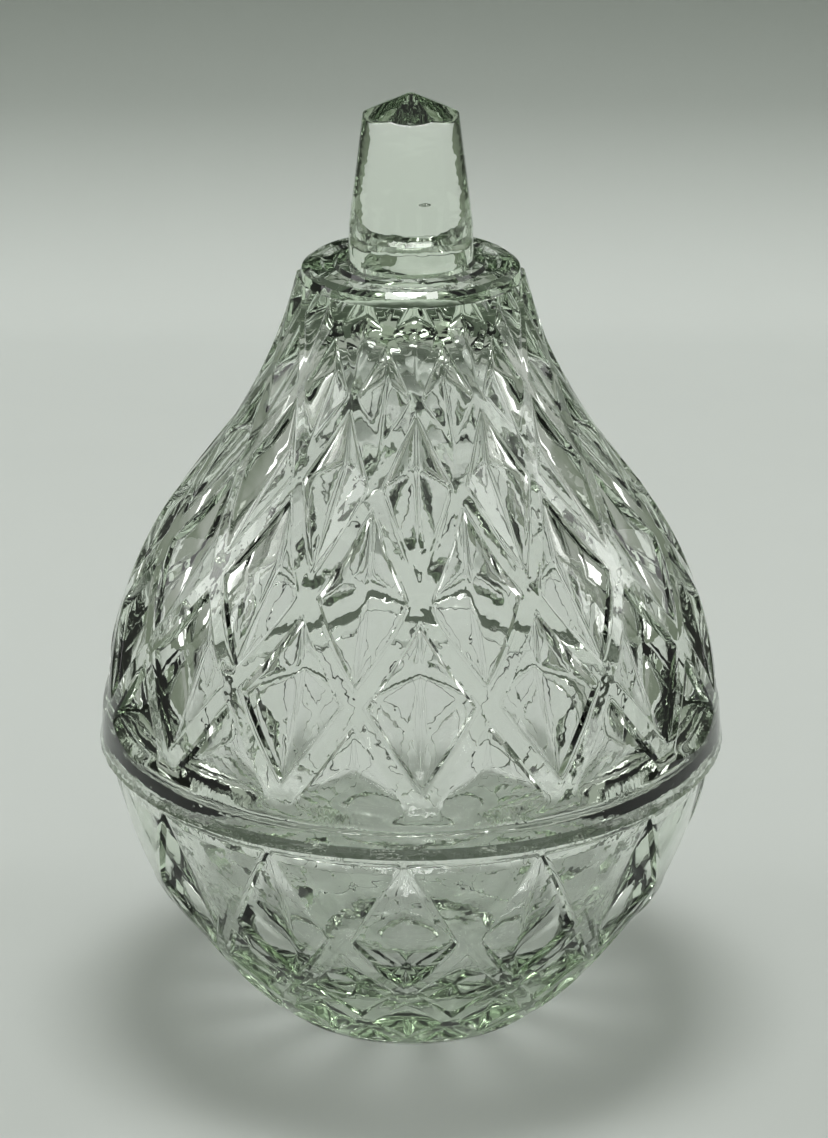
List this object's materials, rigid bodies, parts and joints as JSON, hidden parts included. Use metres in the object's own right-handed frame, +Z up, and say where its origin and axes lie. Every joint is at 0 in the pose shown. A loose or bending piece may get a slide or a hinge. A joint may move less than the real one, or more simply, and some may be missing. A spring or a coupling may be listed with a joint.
{
  "type": "covered candy dish",
  "caption": "Pear-shaped covered candy dish in pressed glass: a round bowl with a diamond lattice and a hollow domed lid with a solid knob that lifts off.",
  "frame": {"origin": "middle of the foot ring's resting plane, under the centre of the dish", "axes": "+Z up along the dish's own axis, through the knob; one column of diamonds faces -Y; +X to the right seen from that side"},
  "size_m": [0.1074, 0.1076, 0.1647],
  "materials": {
    "bowl_glass": "clear pressed glass with a pale grey-green tint, fire polished",
    "lid_glass": "clear pressed glass with a pale grey-green tint, fire polished"
  },
  "bodies": {
    "bowl_body": {"bowl": "bowl_glass"},
    "lid_body": {"lid": "lid_glass"}
  },
  "joints": [
    {"name": "lid_lift", "type": "slide", "parent": "bowl_body", "child": "lid_body", "axis": [0, 0, 1], "range_m": [0, 0.06]}
  ]
}
